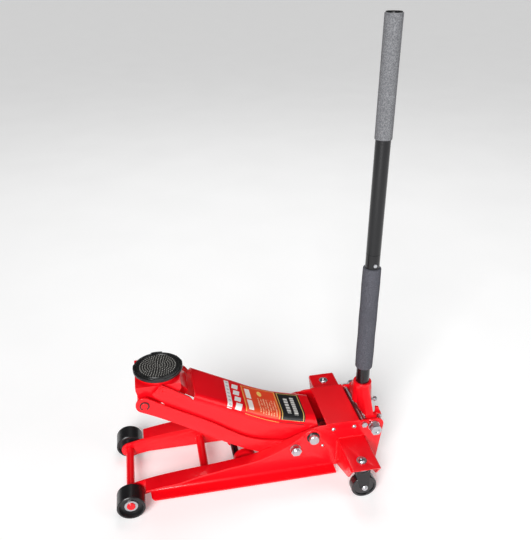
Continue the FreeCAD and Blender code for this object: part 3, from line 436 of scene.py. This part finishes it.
padLook = {
    "rimWidth": 0.0045, "grooveDepth": 0.0008, "nubHeight": 0.0020, "nubRadius": 0.0015,
    "ringGap": 0.0056, "nubGap": 0.0058, "nubSides": 10, "nubDepth": 0.0024, "nubRound": 0.0006,
    "nubMargin": 0.004, "grooveWall": 0.0006, "grooveWidth": 0.0012, "edgeRound": 0.0012,
}


def makeSaddlePad():
    look = padLook
    low, high = (Vector(c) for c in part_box("saddle_pad"))
    centre = (low + high) / 2
    radius = (high.x - low.x) / 2
    floorZ = high.z - look["nubHeight"]
    nothingSelected()
    bpy.ops.mesh.primitive_cylinder_add(vertices=96, radius=radius, depth=floorZ - low.z,
                                        location=(centre.x, centre.y, (floorZ + low.z) / 2))
    disc = bpy.context.object
    bpy.ops.object.transform_apply(location=True)
    pick(disc, "faces", lambda f: f.normal.z > 0.9)
    bpy.ops.mesh.inset(thickness=look["rimWidth"])
    bpy.ops.mesh.inset(thickness=look["grooveWall"], depth=-look["grooveDepth"])
    bpy.ops.mesh.inset(thickness=look["grooveWidth"])
    bpy.ops.mesh.inset(thickness=look["grooveWall"], depth=look["grooveDepth"])
    bpy.ops.object.mode_set(mode="OBJECT")
    pick(disc, "edges", lambda a, b: min(a.z, b.z) > floorZ - 1e-5
         and min((a - centre).xy.length, (b - centre).xy.length) > radius - 1e-4)
    bpy.ops.mesh.bevel(offset=look["edgeRound"], segments=3)
    bpy.ops.object.mode_set(mode="OBJECT")
    nothingSelected()
    bpy.ops.mesh.primitive_cylinder_add(vertices=look["nubSides"], radius=look["nubRadius"],
                                        depth=look["nubDepth"], location=(0, 0, 0))
    nub = bpy.context.object
    pick(nub, "faces", lambda f: f.normal.z > 0.9)
    bpy.ops.mesh.bevel(offset=look["nubRound"], segments=2)
    bpy.ops.object.mode_set(mode="OBJECT")
    nubs = []
    rings = int((radius - look["rimWidth"] - look["nubMargin"]) / look["ringGap"])
    for ring in range(rings + 1):
        away = ring * look["ringGap"]
        count = max(1, round(2 * math.pi * away / look["nubGap"]))
        for k in range(count):
            angle = 2 * math.pi * k / count + 0.5 * ring
            spot = Vector((centre.x + away * math.cos(angle), centre.y + away * math.sin(angle),
                           high.z - look["nubDepth"] / 2))
            nubs.append(copyOf(nub, Matrix.Translation(spot)))
    bpy.data.objects.remove(nub)
    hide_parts("saddle_pad")
    finishPiece(disc, "saddlePad", finishes["pad_rubber"], "saddle")
    finishPiece(joinAll(nubs), "saddleNubs", nubShine, "saddle", 60)


gripLook = {
    "lower_grip": {"name": "lowerGripSleeve", "slot": "grip_foam", "round": 0.0030, "swell": 0.0006},
    "upper_grip": {"name": "upperGripSleeve", "slot": "upper_grip_foam", "round": 0.0009, "swell": 0.0},
}
gripTube = {"radius": 0.016, "play": 0.00005, "wall": 0.001, "rings": 12}
twist = joints["handle_twist"]
handlePoint = Vector(twist["pos_m"])
handleAxis = Vector(twist["axis"]).normalized()
handleTurn = Vector((0, 0, 1)).rotation_difference(handleAxis).to_matrix().to_4x4()


def onHandle(z):
    # The point of the handle's axis at that height.
    return handlePoint + handleAxis * ((z - handlePoint.z) / handleAxis.z)


def makeGrip(node):
    look = gripLook[node]
    low, high = (Vector(c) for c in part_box(node))
    radius = (high.y - low.y) / 2
    tubeLow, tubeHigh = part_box("lower_tube")
    bore = min((tubeHigh[1] - tubeLow[1]) / 2, gripTube["radius"]) + gripTube["play"]
    lean = handleAxis.x * radius
    z0, z1 = low.z + lean, high.z - lean
    length = (z1 - z0) / handleAxis.z
    nothingSelected()
    bpy.ops.mesh.primitive_cylinder_add(vertices=96, radius=radius - look["swell"], depth=length,
                                        location=(0, 0, 0))
    sleeve = bpy.context.object
    pick(sleeve, "faces", lambda f: abs(f.normal.z) > 0.9)
    bpy.ops.mesh.inset(thickness=radius - look["swell"] - bore)
    bpy.ops.mesh.delete(type="FACE")
    bpy.ops.object.mode_set(mode="OBJECT")
    pick(sleeve, "edges", lambda a, b: abs(a.z - b.z) < 1e-6 and a.xy.length < bore + 1e-4
         and b.xy.length < bore + 1e-4)
    bpy.ops.mesh.bridge_edge_loops()
    bpy.ops.object.mode_set(mode="OBJECT")
    pick(sleeve, "edges", lambda a, b: abs(a.z - b.z) < 1e-6 and a.xy.length > bore + gripTube["wall"])
    bpy.ops.mesh.bevel(offset=look["round"], segments=5)
    bpy.ops.object.mode_set(mode="OBJECT")
    for k in range(1, gripTube["rings"]):
        pick(sleeve, "faces", lambda f: True)
        bpy.ops.mesh.bisect(plane_co=(0, 0, length * (k / gripTube["rings"] - 0.5)),
                            plane_no=(0, 0, 1))
        bpy.ops.object.mode_set(mode="OBJECT")
    for vertex in sleeve.data.vertices:
        if vertex.co.xy.length > bore + gripTube["wall"]:
            # foam swells a little between the places where it was pushed on
            swell = look["swell"] * math.cos(vertex.co.z / length * math.pi * 3) ** 2
            vertex.co.xy = vertex.co.xy * (1 + swell / radius)
    middle = onHandle((z0 + z1) / 2)
    sleeve.data.transform(Matrix.Translation(middle) @ handleTurn)
    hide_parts(node)
    finishPiece(sleeve, look["name"], finishes[look["slot"]], "handle", 40)
    return sleeve


lift = joints["lift"]
pivotPoint = Vector(lift["pos_m"])
bracketPoint = Vector(joints["bracket_level"]["pos_m"])
alongArm = (bracketPoint - pivotPoint).normalized()
awayFromArm = Vector((alongArm.z, 0, -alongArm.x))
if awayFromArm.z < 0:
    awayFromArm = -awayFromArm


def armTree():
    mesh = frame["nodes"]["lift_arm"].data
    return BVHTree.FromPolygons([v.co for v in mesh.vertices], [p.vertices for p in mesh.polygons])


sheetLook = {"above": 0.00016, "thickness": 0.00012, "rayStart": 0.2, "missedHeight": 0.01}


def panel(name, s0, s1, y0, y1, cells, material, lean=0.0):
    # A thin printed sheet laid on the arm's top between two stations along it.
    tree = armTree()
    nothingSelected()
    bpy.ops.mesh.primitive_grid_add(x_subdivisions=cells[0], y_subdivisions=cells[1], size=1,
                                    location=(0, 0, 0), calc_uvs=True)
    sheet = bpy.context.object
    for vertex in sheet.data.vertices:
        u, v = vertex.co.x + 0.5, vertex.co.y + 0.5
        y = y0 + (y1 - y0) * v
        s = s0 + (s1 - s0) * u + lean * (v - 0.5)
        foot = pivotPoint + alongArm * s + Vector((0, y, 0))
        hit = tree.ray_cast(foot + awayFromArm * sheetLook["rayStart"], -awayFromArm)[0]
        ground = hit if hit else foot + awayFromArm * sheetLook["missedHeight"]
        vertex.co = ground + awayFromArm * sheetLook["above"]
    only(sheet)
    bpy.ops.object.mode_set(mode="EDIT")
    bpy.ops.mesh.select_all(action="SELECT")
    bpy.ops.mesh.normals_make_consistent(inside=False)
    bpy.ops.object.mode_set(mode="OBJECT")
    if sum(p.normal.dot(awayFromArm) for p in sheet.data.polygons) < 0:
        sheet.data.flip_normals()
    applyModifier(sheet, "SOLIDIFY", thickness=sheetLook["thickness"], offset=1.0)
    return finishPiece(sheet, name, material, "arm", 30)


def panelMaterial(name, paint, gloss=0.28):
    material, shader, place = newMaterial(name, 0.35, 0.12)
    tex = place.make("ShaderNodeUVMap", {"uv_map": "UVMap"})
    u, v = (tex.make("ShaderNodeSeparateXYZ", None, {0: tex}, output=k) for k in (0, 1))
    feed(shader, "Base Color", paint(place, u, v))
    feed(shader, "Roughness", gloss + noise(place, 80.0, 4.0) * 0.12)
    feed(shader, "Normal", bump(noise(place, 500.0, 2.0), 0.06, 0.0002))
    return material


def boxMask(u, v, u0, u1, v0, v1):
    return (u > u0) * (u < u1) * (v > v0) * (v < v1)


def capMask(first, second):
    return first.sum2("MAXIMUM", first, second)


def fraction(value):
    return value.make("ShaderNodeMath", {"operation": "FRACT"}, {0: value})


def stripPaint(place, u, v):
    # white strip with a row of grey dots across the arm
    cell = fraction(v * 7.0)
    away = (cell - 0.5) * (cell - 0.5) * 1.35 + (u - 0.55) * (u - 0.55) * 0.55
    dot = away < 0.060
    return blendColour(dot * 0.75, (0.82, 0.80, 0.79), (0.42, 0.40, 0.40))


def warnPaint(place, u, v):
    # orange-red panel with a golden border, two pale bars and plain rows of dashes
    red = blendColour(noise(place, 40.0, 2.0), (0.70, 0.045, 0.015), (0.82, 0.075, 0.020))
    edge = 1.0 - boxMask(u, v, 0.03, 0.97, 0.02, 0.98)
    colour = blendColour(edge, red, (0.78, 0.36, 0.08))
    bars = capMask(boxMask(u, v, 0.09, 0.24, 0.52, 0.90), boxMask(u, v, 0.09, 0.24, 0.10, 0.46))
    colour = blendColour(bars, colour, (0.85, 0.80, 0.76))
    rows = (fraction(u * 13.0) > 0.55) * boxMask(u, v, 0.40, 0.93, 0.08, 0.62)
    dashes = rows * (noise(place, 260.0, 0.0, 0.5) > 0.44)
    colour = blendColour(dashes * 0.8, colour, (0.86, 0.50, 0.30))
    badge = boxMask(u, v, 0.44, 0.60, 0.68, 0.92)
    ring = ((u - 0.52) * (u - 0.52) * 2.2 + (v - 0.80) * (v - 0.80)) < 0.010
    return blendColour(badge * ring * 0.9, colour, (0.88, 0.62, 0.16))


def blackPaint(place, u, v):
    # black panel with a thin gold border and two pale blocks
    edge = boxMask(u, v, 0.05, 0.95, 0.025, 0.975) * (1.0 - boxMask(u, v, 0.085, 0.915, 0.045, 0.955))
    colour = blendColour(edge, (0.012, 0.012, 0.013), (0.62, 0.42, 0.12))
    first = boxMask(u, v, 0.28, 0.44, 0.20, 0.80) * (fraction(v * 9.0) > 0.28)
    second = boxMask(u, v, 0.56, 0.72, 0.16, 0.84) * (fraction(v * 12.0) > 0.25)
    return blendColour(capMask(first, second) * 0.75, colour, (0.80, 0.78, 0.74))


def plainWhite(place, u, v):
    return blendColour(noise(place, 60.0, 3.0), (0.78, 0.77, 0.76), (0.86, 0.85, 0.84))


panelLook = {
    "strip": {"s": (0.224, 0.212), "y": (-0.0575, 0.038), "lean": -0.003},
    "bars": {"s": (0.204, 0.188), "span": (-0.0565, 0.038), "count": 4, "fill": 0.72, "slant": -0.004},
    "warning": {"s": (0.178, 0.090), "y": (-0.0578, 0.037)},
    "black": {"s": (0.0885, 0.028), "y": (-0.0578, 0.037)},
}


def makePanels():
    look = panelLook
    strip = look["strip"]
    panel("dotStrip", *strip["s"], *strip["y"], (4, 24), panelMaterial("stripPrint", stripPaint),
          strip["lean"])
    warning = look["warning"]
    panel("orangePanel", *warning["s"], *warning["y"], (24, 20), panelMaterial("orangePrint", warnPaint))
    black = look["black"]
    panel("blackPanel", *black["s"], *black["y"], (20, 20), panelMaterial("blackPrint", blackPaint))
    marks = look["bars"]
    white = panelMaterial("whitePrint", plainWhite)
    y0, y1 = marks["span"]
    step = (y1 - y0) / marks["count"]
    bars = []
    for k in range(marks["count"]):
        start = y0 + k * step
        bars.append(panel("bar", *marks["s"], start, start + step * marks["fill"], (4, 5), white,
                          marks["slant"]))
    joined = joinAll(bars)
    joined.name = "whiteBars"
    joined.data.name = "whiteBars"


weldLook = {
    "radius": 0.0022, "pitch": 0.0021, "squash": 0.8, "off": 0.0005, "bottomGap": 0.008, "endGap": 0.006,
    "inset": 0.0006, "ringSteps": 20,
}


def weldBead(name, runs, body):
    # Overlapping round ripples laid along each run, as a hand weld leaves them.
    look = weldLook
    nothingSelected()
    bpy.ops.mesh.primitive_uv_sphere_add(segments=8, ring_count=5, radius=look["radius"], location=(0, 0, 0))
    ripple = bpy.context.object
    beads = []
    for run in runs:
        a, b = Vector(run[0]), Vector(run[1])
        length = (b - a).length
        turn = Vector((0, 0, 1)).rotation_difference((b - a).normalized()).to_matrix().to_4x4()
        for k in range(int(length / look["pitch"]) + 1):
            spot = a + (b - a) * (k * look["pitch"] / length)
            wobble = 1.0 + 0.12 * math.sin(k * 2.4) + 0.06 * math.sin(k * 5.1)
            size = Matrix.Diagonal((wobble, wobble, look["squash"], 1))
            beads.append(copyOf(ripple, Matrix.Translation(spot) @ turn @ size))
    bpy.data.objects.remove(ripple)
    return finishPiece(joinAll(beads), name, finishes["red_enamel"], body, 70)


def makeWelds():
    look = weldLook
    end = look["endGap"]
    for side, sign in (("left", -1.0), ("right", 1.0)):
        low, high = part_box("caster_bracket_" + side)
        y = sign * (min(abs(low[1]), abs(high[1])) + look["off"])
        runs = [((x, y, low[2] + look["bottomGap"]), (x, y, high[2] - end)) for x in (low[0], high[0])]
        runs.append(((low[0] + end, y, high[2]), (high[0] - end, y, high[2])))
        weldBead("bracketWeld_" + side, runs, "chassis")
    for node, stem in (("front_cross_tie", "tieWeld"), ("arm_rest_tube", "restWeld")):
        low, high = (Vector(c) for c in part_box(node))
        centre = (low + high) / 2
        radius = (high.x - low.x) / 2
        turns = [2 * math.pi * k / look["ringSteps"] for k in range(look["ringSteps"] + 1)]
        for side, y in (("left", low.y + look["inset"]), ("right", high.y - look["inset"])):
            points = [Vector((centre.x + radius * math.cos(t), y, centre.z + radius * math.sin(t)))
                      for t in turns]
            weldBead(stem + "_" + side, list(zip(points, points[1:])), "chassis")


threadLook = {
    "radius": 0.0080, "pitch": 0.0015, "depth": 0.0007, "turns": 3, "crest": 0.0001, "sink": 0.0002,
}


def makeThreads():
    look = threadLook
    low, high = (Vector(c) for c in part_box("link_bolts"))
    hinge = Vector(joints["link_turn"]["pos_m"])
    root = look["radius"] - look["depth"]
    grow = (look["radius"] + look["crest"]) / root
    for side, tip, sign in (("left", low.y, 1.0), ("right", high.y, -1.0)):
        nothingSelected()
        bpy.ops.mesh.primitive_circle_add(vertices=40, radius=root, fill_type="NGON", location=(0, 0, 0))
        thread = bpy.context.object
        bpy.ops.object.mode_set(mode="EDIT")
        bpy.ops.mesh.select_all(action="SELECT")
        for k in range(look["turns"] * 2):
            step = (0, 0, look["pitch"] / 2)
            bpy.ops.mesh.extrude_region_move(TRANSFORM_OT_translate={"value": step})
            scale = grow if k % 2 == 0 else 1 / grow
            bpy.ops.transform.resize(value=(scale, scale, 1))
        bpy.ops.mesh.select_all(action="SELECT")
        bpy.ops.mesh.normals_make_consistent(inside=False)
        bpy.ops.object.mode_set(mode="OBJECT")
        turn = Matrix.Rotation(math.radians(-90 * sign), 4, "X")
        spot = Vector((hinge.x, tip - sign * look["sink"], hinge.z))
        thread.data.transform(Matrix.Translation(spot) @ turn)
        finishPiece(thread, "boltThread_" + side, finishes["zinc_plate"], "chassis", 25)


print("springs")
makeSprings()
print("saddle pad")
makeSaddlePad()
print("grips")
makeGrip("lower_grip")
makeGrip("upper_grip")
print("panels")
makePanels()
print("welds")
makeWelds()
print("threads")
makeThreads()
print("rolled edges")
nodeBody = {n: b for b, members in record["behaviour"]["bodies"].items() for n in members}
for node, width in rolledEdges.items():
    twin = rolledCopy(node, width)
    look = castRed if node in castNodes else finishes["red_enamel"]
    if node == "saddle_plate":
        look = wheelBlack
    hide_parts(node)
    finishPiece(twin, "rolled_" + node, look, nodeBody[node], 32)


print("studio")
studioLook = {
    "floor": (0.93, 0.93, 0.93), "floorShade": (0.86, 0.86, 0.86),
    "world": 0.55, "overhead": 0.20, "glow": 0.16,
}
bpy.context.scene.view_settings.view_transform = "Standard"
nothingSelected()
bpy.ops.mesh.primitive_plane_add(size=60, location=(0, 0, 0))
floor = bpy.context.object
floor.name = "floor"
paper, paperShader, paperPlace = newMaterial("palePaper", specular=0.2)
feed(paperShader, "Base Color",
     blendColour(noise(paperPlace, 3.0, 2.0), studioLook["floorShade"], studioLook["floor"]))
feed(paperShader, "Roughness", 0.7 + noise(paperPlace, 60.0, 2.0) * 0.1)
paperShader.inputs["Emission Color"].default_value = (1.0, 1.0, 1.0, 1.0)
paperShader.inputs["Emission Strength"].default_value = studioLook["glow"]
floor.data.materials.append(paper)

world = bpy.data.worlds.new("studio")
bpy.context.scene.world = world
world.use_nodes = True
background = world.node_tree.nodes["Background"]
sky = Signal(world.node_tree)
facing = sky.make("ShaderNodeSeparateXYZ", None,
                  {0: sky.make("ShaderNodeTexCoord", output="Generated")}, output=2)
glow = facing.make("ShaderNodeMapRange", None,
                   {"Value": facing, "From Min": -0.05, "From Max": 0.75,
                    "To Min": studioLook["world"], "To Max": studioLook["overhead"]})
world.node_tree.links.new(glow.socket, background.inputs["Strength"])

lampLook = [
    {"name": "windowLight", "kind": "SUN", "place": (-1.6, -3.0, 2.6), "power": 3.0, "soft": 30.0},
    {"name": "keyLight", "kind": "AREA", "place": (-1.3, -2.8, 1.25), "size": 1.5, "power": 45.0},
    {"name": "fillLight", "kind": "AREA", "place": (2.2, -1.7, 1.7), "size": 1.6, "power": 18.0},
    {"name": "backLight", "kind": "AREA", "place": (0.3, 1.6, 3.2), "size": 1.6, "power": 30.0},
]
for look in lampLook:
    lamp = bpy.data.lights.new(look["name"], look["kind"])
    lamp.energy = look["power"]
    if look["kind"] == "SUN":
        lamp.angle = math.radians(look["soft"])
    else:
        lamp.size = look["size"]
    obj = bpy.data.objects.new(look["name"], lamp)
    bpy.context.collection.objects.link(obj)
    obj.location = look["place"]
    aim = Vector((0.0, 0.0, 0.25)) - Vector(look["place"])
    obj.rotation_euler = aim.to_track_quat("-Z", "Y").to_euler()

cameraLook = {
    "place": (-0.18993, -1.18538, 1.13520), "azimuth": -10.409, "elevation": 26.823, "roll": -1.074,
    "lens": 42.25, "shift": (0.0182, 0.0054),
}
az, el, roll = (math.radians(cameraLook[k]) for k in ("azimuth", "elevation", "roll"))
back = Vector((math.sin(az) * math.cos(el), -math.cos(az) * math.cos(el), math.sin(el)))
right = Vector((math.cos(az), math.sin(az), 0))
up = back.cross(right)
rolledRight = right * math.cos(roll) + up * math.sin(roll)
rolledUp = up * math.cos(roll) - right * math.sin(roll)
camera = bpy.data.cameras.new("camera")
camera.lens = cameraLook["lens"]
camera.shift_x, camera.shift_y = cameraLook["shift"]
cameraObject = bpy.data.objects.new("camera", camera)
bpy.context.collection.objects.link(cameraObject)
turn = Matrix((rolledRight, rolledUp, back)).transposed().to_4x4()
cameraObject.matrix_world = Matrix.Translation(Vector(cameraLook["place"])) @ turn
bpy.context.scene.camera = cameraObject
